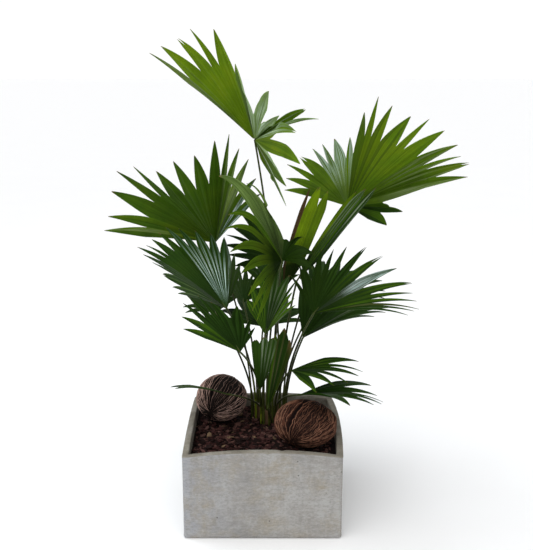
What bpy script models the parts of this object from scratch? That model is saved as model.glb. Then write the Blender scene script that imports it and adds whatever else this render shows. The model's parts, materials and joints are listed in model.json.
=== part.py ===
"""A potted footstool palm: a clump of three seedlings of a fan palm in a square planter.

The planter is a square tub of thin cement with a gently arched rim, filled with potting mix under a
mulch of bark chips, and two dried fibrous fruit shells lie on the mulch. Each seedling is a short
sheathed stem with slender stalks round it. Each stalk ends just under the hub of its blade, a pleated
fan that is cut into fingers past a part of its radius.

Metres, +Z up. The origin is the centre of the planter's flat underside, +X is the planter's right
side and -Y is its front.
"""

import random
from collections import namedtuple
from math import atan2, cos, pi, radians, sin, tau

import bmesh
import bpy
from mathutils import Matrix, Vector
from mathutils.bvhtree import BVHTree

GAP = 0.0003
SAME_POINT = 0.00001
SHARP_ANGLE = radians(60)
Finish = namedtuple("Finish", "colour roughness")
CEMENT = Finish((0.62, 0.60, 0.54), 0.85)
BARK_MULCH = Finish((0.070, 0.032, 0.020), 0.90)
LEAF_SHEATH = Finish((0.16, 0.10, 0.05), 0.85)
STALK_GREEN = Finish((0.13, 0.17, 0.05), 0.50)
BLADE_GREEN = Finish((0.10, 0.24, 0.035), 0.45)

PLANTER_SIDE = 0.300
PLANTER_CORNER_HEIGHT = 0.169
RIM_ARCH = 0.010
RIGHT_WALL_BOW = 0.006
WALL = 0.012
CORNER_RADIUS = 0.005
SIDE_CUTS = 7

SOIL_LEVEL = 0.152
SOIL_CORNER = 0.0055

SHELL_SEGMENTS = 18
SHELL_RINGS = 12
SHELL_GROOVE = 0.06
GROOVE_BEARING = radians(60)
GROOVE_SHARPNESS = 8
SHELL_POINT = 0.10
POINT_SHARPNESS = 6
Shell = namedtuple("Shell", "name centre half_sizes turn finish")
SHELLS = (
    Shell("dried_fruit_left", (-0.086, 0.062), (0.056, 0.053, 0.049), 60,
          Finish((0.060, 0.028, 0.018), 0.75)),
    Shell("dried_fruit_right", (0.082, -0.066), (0.061, 0.051, 0.047), -12,
          Finish((0.105, 0.040, 0.020), 0.75)),
)

STEM_HEIGHT = 0.030
STEM_RADIUS = 0.008
STEM_SIDES = 12
STEM_PROFILE = ((0.0, 1.0), (0.55, 1.0), (0.85, 0.6), (1.0, 0.2), (1.0, 0.0), (0.0, 0.0))
Seedling = namedtuple("Seedling", "name foot")
SEEDLINGS = (
    Seedling("stem_left", (-0.012, 0.080)),
    Seedling("stem_middle", (0.008, 0.044)),
    Seedling("stem_right", (0.036, 0.072)),
)

STALK_FOOT_RADIUS = 0.0034
STALK_TIP_RADIUS = 0.0019
STALK_POINTS = 7
STALK_FOOT_RISE = 0.010
STALK_BEND = 0.45
SHORTEST_STALK = 0.5
TIP_STEP = 0.0001
TIP_CHECKS = (0.0, 0.0005, 0.001, 0.002, 0.004)
DISC_POINTS = 40
GOLDEN_ANGLE = 2.4
PROBE_WAY = Vector((0.23, 0.31, 0.92)).normalized()
PROBE_STEP = 0.00001

THICKNESS_SHARE = 0.0104
RING_SHARES = (0.0, 0.55, 1.0)
FINGER_SHARES = (0.55, 1.0)
PLEAT_SLOPE = 0.22
FINGER_TAPER = 1.5
DEEP_WIDTH = 0.6
LENGTH_SPREAD = 0.035
FURL_START = 0.3
RIB_STEPS = 24

# A blade's ribs are numbered by finger, clockwise as its face is seen from the front. Each named rib
# is (finger, compass direction, climb, length) in degrees and metres: 0 is +X, 90 is +Y, away from
# the front. The ribs between two named ones are blended. fingers holds the pleats fused in each. A
# furled blade's edges run more nearly parallel. deep names the fingers that a deep slit precedes; on
# either side of it a finger's edge mirrors its other one and comes DEEP_WIDTH as far out.
Leaf = namedtuple("Leaf", "name stem hub droop split fingers ribs furl deep", defaults=(0.0, ()))
LEAVES = (
    Leaf("top", "stem_right", (-0.015, 0.050, 0.735), 0.35, 0.66,
         (1, 2, 2, 1, 3, 1, 1, 1, 2, 1, 2, 2, 1, 1, 1),
         ((0, 180, 45, 0.250), (1, -165, 50, 0.250), (4, -120, 60, 0.250), (5, -100, 45, 0.230),
          (6, -81, 36, 0.200), (7, -73, 26, 0.165), (8, -54, 29, 0.175), (9, -49, 22, 0.180),
          (10, -63, 16, 0.170), (11, -62, -3, 0.175), (12, -66, -21, 0.160), (13, -61, -38, 0.170),
          (14, -47, -49, 0.095)),
         deep=(6, 7, 8, 10, 11, 12)),
    Leaf("right_high", "stem_right", (0.170, 0.090, 0.600), 0.25, 0.67,
         (1, 1, 1, 2, 1, 1, 2, 1, 2, 1, 1, 2, 1, 2, 2, 1, 2, 1, 1, 1),
         ((0, -130, 20, 0.210), (2, -125, 30, 0.235), (5, -110, 40, 0.240), (7, -95, 45, 0.235),
          (9, -75, 60, 0.260), (11, -45, 55, 0.235), (14, -5, 35, 0.250), (16, -5, 25, 0.255),
          (17, -10, 20, 0.240), (18, 0, 0, 0.115), (19, -10, -20, 0.085)),
         deep=(18,)),
    Leaf("left_high", "stem_left", (-0.095, 0.070, 0.530), 0.20, 0.62,
         (1, 1, 2, 2, 1, 2, 2, 2, 2, 1, 1, 1, 1, 1),
         ((0, 180, 10, 0.225), (2, 175, 30, 0.230), (3, 180, 40, 0.235), (5, -135, 50, 0.210),
          (7, -100, 55, 0.245), (9, -75, 60, 0.270), (11, -65, 50, 0.245), (13, -55, 40, 0.205))),
    Leaf("centre_left", "stem_middle", (0.035, -0.120, 0.535), 1.00, 0.62,
         (1, 1, 1, 1, 1, 1, 2, 6, 1, 1, 2, 2),
         ((0, -130, -45, 0.115), (1, -130, -30, 0.110), (2, -130, -10, 0.105), (3, -135, 15, 0.105),
          (4, -145, 35, 0.120), (5, -155, 50, 0.135), (6, -160, 60, 0.145), (7, 180, 70, 0.195),
          (8, 155, 75, 0.155), (9, 0, 65, 0.060), (10, -20, 35, 0.065), (11, -40, 15, 0.070)),
         deep=(9,)),
    Leaf("left_middle", "stem_left", (-0.065, -0.100, 0.440), 0.30, 0.72,
         (1, 1, 2, 1, 2, 2, 1, 2, 2, 2, 2, 2, 2, 2, 1, 1),
         ((0, 130, 5, 0.160), (3, 145, 25, 0.195), (5, 160, 35, 0.205), (8, 150, 45, 0.205),
          (10, 130, 45, 0.200), (13, 95, 45, 0.165), (15, 80, 30, 0.135))),
    Leaf("left_low", "stem_left", (-0.040, -0.140, 0.370), 0.25, 0.62,
         (1, 1, 1, 2, 2, 2, 2, 1, 1),
         ((0, 170, 25, 0.115), (2, 160, 40, 0.140), (3, 155, 45, 0.145), (5, 145, 55, 0.110),
          (8, 50, 45, 0.055))),
    Leaf("right_middle", "stem_right", (0.095, -0.080, 0.425), 0.35, 0.55,
         (1, 2, 2, 2, 2, 2, 2, 2, 2, 1, 1, 1, 1, 1),
         ((0, 155, 60, 0.085), (2, 55, 80, 0.120), (4, 20, 65, 0.140), (6, 10, 45, 0.170),
          (8, 0, 25, 0.185), (11, -20, 15, 0.205), (13, -30, 15, 0.190))),
    Leaf("right_under", "stem_right", (0.080, 0.020, 0.345), 0.50, 0.60,
         (2, 2, 2, 2, 1, 1, 1, 1),
         ((0, 92, 58, 0.115), (3, 30, 35, 0.185), (5, 10, 25, 0.205), (7, -10, 30, 0.150))),
    Leaf("centre_low", "stem_middle", (0.005, -0.130, 0.400), 0.25, 0.72,
         (2, 2, 2, 2, 2, 1, 1, 1, 1),
         ((0, 140, 55, 0.075), (3, 50, 75, 0.125), (5, 20, 60, 0.115), (6, 10, 60, 0.090),
          (8, -10, 50, 0.080))),
    Leaf("band", "stem_right", (0.065, -0.030, 0.475), 0.20, 0.85,
         (2, 3, 2),
         ((0, 20, 57, 0.205), (1, 17, 54, 0.225), (2, 15, 50, 0.230)),
         furl=0.7),
    Leaf("spear", "stem_middle", (0.040, -0.030, 0.455), 0.0, 0.80,
         (1, 3, 3),
         ((0, 0, 78, 0.200), (1, 0, 72, 0.215), (2, 7, 66, 0.215)),
         furl=0.8),
    Leaf("young_centre", "stem_middle", (-0.005, -0.050, 0.260), 0.0, 0.90,
         (2, 2, 2),
         ((0, -95, 55, 0.170), (1, -85, 55, 0.175), (2, -75, 55, 0.175)),
         furl=0.4),
    Leaf("young_right", "stem_middle", (0.010, -0.030, 0.215), 0.0, 0.93,
         (1, 2, 1),
         ((0, 0, 85, 0.150), (1, 5, 79, 0.170), (2, 25, 70, 0.145)),
         furl=0.4),
    Leaf("low_right", "stem_right", (0.055, -0.030, 0.295), 0.50, 0.50,
         (2, 1, 2, 1, 1, 1),
         ((0, 20, 10, 0.150), (1, 10, 5, 0.150), (2, 0, 5, 0.135), (4, -35, 5, 0.100),
          (5, -60, 0, 0.095))),
    Leaf("lowest_right", "stem_right", (0.070, -0.070, 0.260), 0.50, 0.55,
         (3, 2, 1, 1, 1, 1),
         ((0, 30, 5, 0.170), (2, 10, 0, 0.175), (4, -10, 5, 0.145), (5, -40, 15, 0.120))),
    Leaf("lowest_left", "stem_middle", (-0.065, -0.030, 0.245), 0.35, 0.70,
         (1, 2),
         ((0, -160, 20, 0.110), (1, 170, 10, 0.120))),
    Leaf("shade_left", "stem_middle", (0.035, 0.100, 0.485), 0.35, 0.60,
         (1, 1, 2, 1, 2, 2, 2, 1),
         ((0, 155, -5, 0.105), (1, 165, 10, 0.115), (3, 165, 30, 0.125), (5, 150, 50, 0.135),
          (7, 110, 50, 0.100))),
    Leaf("shade_low", "stem_left", (-0.040, 0.090, 0.400), 0.30, 0.60,
         (1, 1, 2, 2, 2, 1, 1, 1),
         ((0, 115, 5, 0.105), (2, 110, 35, 0.095), (4, 85, 55, 0.080), (6, 40, 55, 0.070),
          (7, 0, 35, 0.055))),
    Leaf("rear_left", "stem_left", (-0.100, 0.130, 0.365), 0.35, 0.58,
         (1, 1, 2, 2, 2, 2, 2, 1, 1),
         ((0, 155, 0, 0.075), (2, 120, 10, 0.140), (4, 100, 20, 0.180), (6, 85, 20, 0.160),
          (8, 60, 15, 0.110))),
    Leaf("rear_right", "stem_right", (0.115, 0.120, 0.395), 0.35, 0.58,
         (1, 1, 2, 2, 2, 2, 2, 1, 1),
         ((0, 125, 35, 0.080), (2, 95, 30, 0.135), (4, 70, 20, 0.190), (6, 40, 10, 0.195),
          (8, 15, 5, 0.155))),
    Leaf("rear_middle", "stem_left", (0.020, 0.150, 0.405), 0.35, 0.58,
         (1, 2, 2, 2, 2, 2, 1),
         ((0, 200, 35, 0.070), (2, 115, 40, 0.120), (3, 90, 30, 0.165), (5, 65, 30, 0.125),
          (6, 50, 20, 0.095))),
    Leaf("rear_low", "stem_left", (0.000, 0.130, 0.335), 0.45, 0.55,
         (1, 2, 2, 2, 2, 2, 1),
         ((0, 170, 10, 0.110), (1, 140, 15, 0.130), (3, 90, 20, 0.160), (5, 40, 15, 0.130),
          (6, 10, 10, 0.110))),
)


def clear_scene():
    for obj in list(bpy.data.objects):
        bpy.data.objects.remove(obj)


def make_collection(name):
    collection = bpy.data.collections.new(name)
    bpy.context.scene.collection.children.link(collection)
    return collection


def make_material(name, finish):
    material = bpy.data.materials.new(name)
    material.use_nodes = True
    shader = material.node_tree.nodes["Principled BSDF"]
    shader.inputs["Base Color"].default_value = (*finish.colour, 1.0)
    shader.inputs["Roughness"].default_value = finish.roughness
    shader.inputs["Metallic"].default_value = 0.0
    material.diffuse_color = (*finish.colour, 1.0)
    return material


def object_from(bm, name, collection, material, smooth=False):
    mesh = bpy.data.meshes.new(name)
    bmesh.ops.recalc_face_normals(bm, faces=bm.faces)
    bm.to_mesh(mesh)
    bm.free()
    if smooth:
        mesh.shade_smooth()
    mesh.materials.append(material)
    obj = bpy.data.objects.new(name, mesh)
    collection.objects.link(obj)
    return obj


def add_solidify(obj, thickness, offset):
    modifier = obj.modifiers.new("wall", "SOLIDIFY")
    modifier.thickness = thickness
    modifier.offset = offset
    modifier.use_even_offset = offset != 0.0


def add_bevel(obj, width):
    modifier = obj.modifiers.new("round_corners", "BEVEL")
    modifier.width = width
    modifier.segments = 2
    modifier.limit_method = "ANGLE"
    modifier.angle_limit = SHARP_ANGLE


def square_block(side, bottom, top):
    """A box whose faces are cut into a grid, so that its sides can bow."""
    bm = bmesh.new()
    bmesh.ops.create_cube(bm, size=1.0)
    bmesh.ops.scale(bm, vec=(side, side, top - bottom), verts=bm.verts)
    bmesh.ops.translate(bm, vec=(0.0, 0.0, (top + bottom) / 2), verts=bm.verts)
    level = [e for e in bm.edges if abs(e.verts[0].co.z - e.verts[1].co.z) < GAP]
    bmesh.ops.subdivide_edges(bm, edges=level, cuts=SIDE_CUTS, use_grid_fill=True)
    return bm


def bow_right_wall(bm, side):
    for vert in bm.verts:
        if vert.co.x > side / 2 - GAP:
            vert.co.x += RIGHT_WALL_BOW * (1 - (2 * vert.co.y / side) ** 2)


def planter(collection):
    bm = square_block(PLANTER_SIDE, 0.0, PLANTER_CORNER_HEIGHT)
    rim = [v for v in bm.verts if v.co.z > PLANTER_CORNER_HEIGHT - GAP]
    lid = [f for f in bm.faces if all(v.co.z > PLANTER_CORNER_HEIGHT - GAP for v in f.verts)]
    half = PLANTER_SIDE / 2
    for vert in rim:
        along = vert.co.y if abs(vert.co.x) > half - GAP else vert.co.x
        vert.co.z += RIM_ARCH * (1 - (along / half) ** 2)
    bow_right_wall(bm, PLANTER_SIDE)
    bmesh.ops.delete(bm, geom=lid, context="FACES")
    obj = object_from(bm, "planter", collection, make_material("cement", CEMENT))
    add_solidify(obj, WALL, -1.0)
    add_bevel(obj, CORNER_RADIUS)


def soil(collection):
    inside = PLANTER_SIDE - 2 * (WALL + GAP)
    bm = square_block(inside, WALL + GAP, SOIL_LEVEL)
    bow_right_wall(bm, inside)
    corners = [
        e for e in bm.edges
        if e.calc_face_angle() > SHARP_ANGLE and min(v.co.z for v in e.verts) < SOIL_LEVEL - GAP
    ]
    bmesh.ops.bevel(bm, geom=corners, offset=SOIL_CORNER, segments=2, affect="EDGES", profile=0.5)
    object_from(bm, "soil", collection, make_material("bark_mulch", BARK_MULCH))


def fruit_shell(shell, collection):
    """A squat fibrous ball with a shallow groove along it and a blunt point at one end."""
    bm = bmesh.new()
    bmesh.ops.create_uvsphere(bm, u_segments=SHELL_SEGMENTS, v_segments=SHELL_RINGS, radius=1.0)
    bmesh.ops.rotate(bm, cent=(0, 0, 0), matrix=Matrix.Rotation(pi / 2, 3, "Y"), verts=bm.verts)
    for vert in bm.verts:
        round_axis = atan2(vert.co.z, -vert.co.y)
        away = 1 - abs(vert.co.x)
        groove = max(0.0, cos(round_axis - GROOVE_BEARING)) ** GROOVE_SHARPNESS
        vert.co *= 1 - SHELL_GROOVE * away * groove
        vert.co.x *= 1 + SHELL_POINT * max(0.0, vert.co.x) ** POINT_SHARPNESS
        vert.co.x = min(vert.co.x, 1.0)
    bmesh.ops.scale(bm, vec=shell.half_sizes, verts=bm.verts)
    turn = Matrix.Rotation(radians(shell.turn), 3, "Z")
    bmesh.ops.rotate(bm, cent=(0, 0, 0), matrix=turn, verts=bm.verts)
    lowest = min(v.co.z for v in bm.verts)
    material = make_material(shell.name + "_fibre", shell.finish)
    obj = object_from(bm, shell.name, collection, material, smooth=True)
    obj.location = (*shell.centre, SOIL_LEVEL + GAP - lowest)


def stem(seedling, collection):
    """The sheathed foot that a seedling's stalks stand round, turned from a tapering profile."""
    bm = bmesh.new()
    verts = [bm.verts.new((STEM_RADIUS * out, 0.0, STEM_HEIGHT * up)) for out, up in STEM_PROFILE]
    for start, end in zip(verts, verts[1:]):
        bm.edges.new((start, end))
    sheath = make_material(seedling.name + "_sheath", LEAF_SHEATH)
    obj = object_from(bm, seedling.name, collection, sheath)
    turned = obj.modifiers.new("turned", "SCREW")
    turned.steps = STEM_SIDES
    turned.render_steps = STEM_SIDES
    turned.use_merge_vertices = True
    turned.merge_threshold = SAME_POINT
    turned.use_smooth_shade = True
    obj.location = (*seedling.foot, SOIL_LEVEL + GAP)


def direction(compass, climb):
    """The unit vector at these angles, in degrees."""
    level = cos(radians(climb))
    return Vector((level * cos(radians(compass)), level * sin(radians(compass)), sin(radians(climb))))


def pleat_marks(leaf):
    """Where each finger starts, counted in pleats from the first edge, and where the last one ends."""
    marks = [0.0]
    for pleats in leaf.fingers:
        marks.append(marks[-1] + pleats)
    return marks


def rib_at(leaf, pleat):
    """The direction and length of the rib at this count of pleats, blended from the named ribs."""
    marks = pleat_marks(leaf)
    named = [((marks[f] + marks[f + 1]) / 2, direction(az, climb), length)
             for f, az, climb, length in leaf.ribs]
    pairs = list(zip(named, named[1:]))
    low, high = next((p for p in pairs if pleat <= p[1][0]), pairs[-1])
    share = (pleat - low[0]) / (high[0] - low[0])
    way = low[1].lerp(high[1], share).normalized()
    return way, low[2] + share * (high[2] - low[2])


def furled(leaf, pleat, share):
    """The pleat whose direction this one takes here: nearer the hub, a furled blade is wider."""
    middle = sum(leaf.fingers) / 2
    return middle + (pleat - middle) * (leaf.split / max(share, FURL_START)) ** leaf.furl


def along_rib(leaf, pleat, share, stretch=1.0):
    """The point at this share of a rib's length, as gravity bends it more and more outwards."""
    way, length = rib_at(leaf, furled(leaf, pleat, share))
    point = Vector(leaf.hub)
    step = length * stretch * share / RIB_STEPS
    for i in range(RIB_STEPS):
        run = (i + 0.5) / RIB_STEPS * share
        point += (way - Vector((0.0, 0.0, leaf.droop * run * run))).normalized() * step
    return point


def face_normal(leaf, pleat):
    before = rib_at(leaf, pleat - 0.5)[0]
    after = rib_at(leaf, pleat + 0.5)[0]
    return (after - before).cross(rib_at(leaf, pleat)[0]).normalized()


def finger_edge(leaf, marks, finger, side, share):
    """Where the edge of a finger lies before the slit, on side 0 or 1, raised over its rib."""
    pleat = marks[finger + side]
    point = along_rib(leaf, pleat, share)
    width = (point - along_rib(leaf, (marks[finger] + marks[finger + 1]) / 2, share)).length
    return point + face_normal(leaf, pleat) * (PLEAT_SLOPE * width / leaf.fingers[finger])


def blade_point(leaf, marks, column, finger, share, stretch):
    """A point of the fan: even columns are the edges between fingers, odd ones the fingers' ribs."""
    middle = (marks[finger] + marks[finger + 1]) / 2
    on_rib = column % 2 == 1
    side = column // 2 - finger
    deep = not on_rib and column // 2 in leaf.deep
    joined = leaf.split * (RING_SHARES[1] if deep else 1.0)
    if share <= joined + GAP and on_rib:
        return along_rib(leaf, middle, share)
    if share <= joined + GAP:
        return finger_edge(leaf, marks, finger, side, share)
    tip = max(0.0, (share - leaf.split) / (1 - leaf.split))
    point = along_rib(leaf, middle, share, 1 + (stretch - 1) * tip)
    if on_rib:
        return point
    base = along_rib(leaf, middle, leaf.split)
    if deep:
        spread = DEEP_WIDTH * (base - finger_edge(leaf, marks, finger, 1 - side, leaf.split))
    else:
        spread = finger_edge(leaf, marks, finger, side, leaf.split) - base
    return point + spread * (1 - tip ** FINGER_TAPER)


def ring_shares(leaf):
    inner = [leaf.split * share for share in RING_SHARES]
    outer = [leaf.split + (1 - leaf.split) * share for share in FINGER_SHARES]
    return inner + outer


def is_slit(leaf, ends, columns):
    """Whether a grid edge, given as its ends' columns and rings, lies between two cut fingers."""
    (column, ring), (other_column, other_ring) = ends
    if column != other_column or column % 2 == 1 or not 0 < column < columns:
        return False
    slit_ring = len(RING_SHARES) - (2 if column // 2 in leaf.deep else 1)
    return min(ring, other_ring) >= slit_ring


def blade(leaf, collection):
    """A grid with two columns to a finger, slit along the fingers' edges and bent into a fan."""
    marks = pleat_marks(leaf)
    shares = ring_shares(leaf)
    columns = 2 * len(leaf.fingers)
    rings = len(shares) - 1
    bm = bmesh.new()
    bmesh.ops.create_grid(bm, x_segments=columns, y_segments=rings, size=0.5)
    place = {v: (round((v.co.x + 0.5) * columns), round((v.co.y + 0.5) * rings)) for v in bm.verts}
    slits = [e for e in bm.edges if is_slit(leaf, [place[v] for v in e.verts], columns)]
    bmesh.ops.split_edges(bm, edges=slits)
    chance = random.Random(leaf.name)
    stretch = [1 + chance.uniform(-LENGTH_SPREAD, LENGTH_SPREAD) for _ in leaf.fingers]
    targets = {}
    for vert in bm.verts:
        column = round((vert.co.x + 0.5) * columns)
        ring = round((vert.co.y + 0.5) * rings)
        centre = sum(f.calc_center_median().x for f in vert.link_faces) / len(vert.link_faces)
        finger = min(len(leaf.fingers) - 1, int((centre + 0.5) * columns / 2))
        targets[vert] = blade_point(leaf, marks, column, finger, shares[ring], stretch[finger])
    for vert, target in targets.items():
        vert.co = target
    bmesh.ops.remove_doubles(bm, verts=bm.verts, dist=SAME_POINT)
    green = make_material("blade_" + leaf.name + "_green", BLADE_GREEN)
    obj = object_from(bm, "blade_" + leaf.name, collection, green)
    add_solidify(obj, THICKNESS_SHARE * max(rib[3] for rib in leaf.ribs), 0.0)
    return obj


def stalk_feet():
    """Each stalk's foot: one stands on its stem's top, the others in a ring, in order of their hubs."""
    feet = {}
    ring = STEM_RADIUS + STALK_FOOT_RADIUS + GAP
    for seedling in SEEDLINGS:
        centre = Vector((*seedling.foot, 0.0))
        leaves = [leaf for leaf in LEAVES if leaf.stem == seedling.name]
        lean = {leaf: (Vector(leaf.hub) - centre).xy.length / leaf.hub[2] for leaf in leaves}
        inner = min(leaves, key=lean.get)
        feet[inner.name] = centre + Vector((0.0, 0.0, SOIL_LEVEL + STEM_HEIGHT + 2 * GAP))
        outer = [leaf for leaf in leaves if leaf is not inner]
        bearing = {leaf: atan2(leaf.hub[1] - centre.y, leaf.hub[0] - centre.x) % tau for leaf in outer}
        outer.sort(key=bearing.get)
        spacing = tau / len(outer)
        slack = [bearing[leaf] - i * spacing for i, leaf in enumerate(outer)]
        start = sum(slack) / len(slack)
        for i, leaf in enumerate(outer):
            angle = start + i * spacing
            offset = Vector((ring * cos(angle), ring * sin(angle), SOIL_LEVEL + GAP))
            feet[leaf.name] = centre + offset
    return feet


def stalk_path(foot, hub, share):
    """A point on the arc that leaves the foot upright and leans over towards the hub."""
    start = foot + Vector((0.0, 0.0, STALK_FOOT_RISE))
    bend = Vector((start.x, start.y, start.z + STALK_BEND * (hub.z - start.z)))
    return start.lerp(bend, share).lerp(bend.lerp(hub, share), share)


def is_inside(tree, point):
    """Whether the point lies in the closed mesh, which a ray from it then crosses an odd number of times."""
    crossings = 0
    hit = tree.ray_cast(point, PROBE_WAY)[0]
    while hit is not None:
        crossings += 1
        hit = tree.ray_cast(hit + PROBE_WAY * PROBE_STEP, PROBE_WAY)[0]
    return crossings % 2 == 1


def clear_of(tree, centre, radius, way):
    """Whether a disc here, square to way, lies outside the blade and at least a gap clear of it."""
    side = way.orthogonal().normalized()
    other = way.cross(side)
    for i in range(DISC_POINTS):
        angle = GOLDEN_ANGLE * i
        out = radius * (i / (DISC_POINTS - 1)) ** 0.5
        point = centre + out * (cos(angle) * side + sin(angle) * other)
        if tree.find_nearest(point)[3] < GAP or is_inside(tree, point):
            return False
    return True


def stalk_points(foot, hub, end):
    """The corners of a stalk that stops at this share of the path: its foot, then along the arc."""
    steps = STALK_POINTS - 2
    return [foot] + [stalk_path(foot, hub, end * i / steps) for i in range(steps + 1)]


def clear_stalk(tree, foot, hub):
    """The corners of the longest stalk whose tip stays a gap clear of the blade."""
    length = (hub - foot).length
    end = 1.0
    while end > SHORTEST_STALK:
        points = stalk_points(foot, hub, end)
        way = (points[-1] - points[-2]).normalized()
        discs = [points[-1] - behind * way for behind in TIP_CHECKS]
        if all(clear_of(tree, centre, STALK_TIP_RADIUS, way) for centre in discs):
            break
        end -= TIP_STEP / length
    return points


def stalk(leaf, foot, blade_object, collection):
    graph = bpy.context.evaluated_depsgraph_get()
    tree = BVHTree.FromObject(blade_object, graph)
    points = clear_stalk(tree, foot, Vector(leaf.hub))
    curve = bpy.data.curves.new("stalk_" + leaf.name, "CURVE")
    curve.dimensions = "3D"
    curve.bevel_depth = 1.0
    curve.bevel_resolution = 2
    curve.use_fill_caps = True
    spline = curve.splines.new("POLY")
    spline.points.add(len(points) - 1)
    for i, point in enumerate(points):
        spline.points[i].co = (*point, 1.0)
        share = i / (len(points) - 1)
        spline.points[i].radius = STALK_FOOT_RADIUS + share * (STALK_TIP_RADIUS - STALK_FOOT_RADIUS)
    curve.materials.append(make_material("stalk_" + leaf.name + "_green", STALK_GREEN))
    collection.objects.link(bpy.data.objects.new("stalk_" + leaf.name, curve))


def main():
    clear_scene()
    collection = make_collection("potted_footstool_palm")
    planter(collection)
    soil(collection)
    for shell in SHELLS:
        fruit_shell(shell, collection)
    for seedling in SEEDLINGS:
        stem(seedling, collection)
    feet = stalk_feet()
    for leaf in LEAVES:
        blade_object = blade(leaf, collection)
        bpy.context.view_layer.update()
        stalk(leaf, feet[leaf.name], blade_object, collection)


main()
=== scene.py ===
"""The looks of a potted footstool palm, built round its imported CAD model.

Every blade, stalk, stem, fruit shell and the planter follow the same rules as the model's source, written
again here and carried to finer shapes. Metres, +Z up, -Y is the planter's front.
"""

import json
import random
from collections import namedtuple
from math import atan2, cos, exp, pi, radians, sin, tau

import bpy
import numpy as np
from mathutils import Matrix, Vector, noise

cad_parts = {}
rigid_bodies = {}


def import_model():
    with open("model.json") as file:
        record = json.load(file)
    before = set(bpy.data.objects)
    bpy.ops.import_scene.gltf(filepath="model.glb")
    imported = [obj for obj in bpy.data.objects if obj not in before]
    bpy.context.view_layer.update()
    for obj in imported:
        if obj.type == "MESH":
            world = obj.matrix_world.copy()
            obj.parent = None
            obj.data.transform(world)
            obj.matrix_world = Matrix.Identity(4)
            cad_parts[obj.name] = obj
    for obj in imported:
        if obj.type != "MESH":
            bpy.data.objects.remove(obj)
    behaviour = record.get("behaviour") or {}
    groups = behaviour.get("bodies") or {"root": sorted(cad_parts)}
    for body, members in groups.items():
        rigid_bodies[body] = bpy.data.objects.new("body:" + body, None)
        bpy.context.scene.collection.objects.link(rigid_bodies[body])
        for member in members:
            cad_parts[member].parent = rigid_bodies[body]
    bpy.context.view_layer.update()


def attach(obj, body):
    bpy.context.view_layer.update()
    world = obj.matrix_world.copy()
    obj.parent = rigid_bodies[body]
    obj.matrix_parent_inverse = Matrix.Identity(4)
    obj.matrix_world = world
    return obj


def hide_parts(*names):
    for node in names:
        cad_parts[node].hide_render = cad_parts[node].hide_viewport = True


for leftover in list(bpy.data.objects):
    bpy.data.objects.remove(leftover)
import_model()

UP = Vector((0, 0, 1))
GAP = 0.0003
SOIL_LEVEL = 0.152

STEM_HEIGHT = 0.03
STEM_RADIUS = 0.008
Seedling = namedtuple("Seedling", "name foot")
SEEDLINGS = (
    Seedling("stem_left", (-0.012, 0.08)),
    Seedling("stem_middle", (0.008, 0.044)),
    Seedling("stem_right", (0.036, 0.072)),
)

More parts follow.
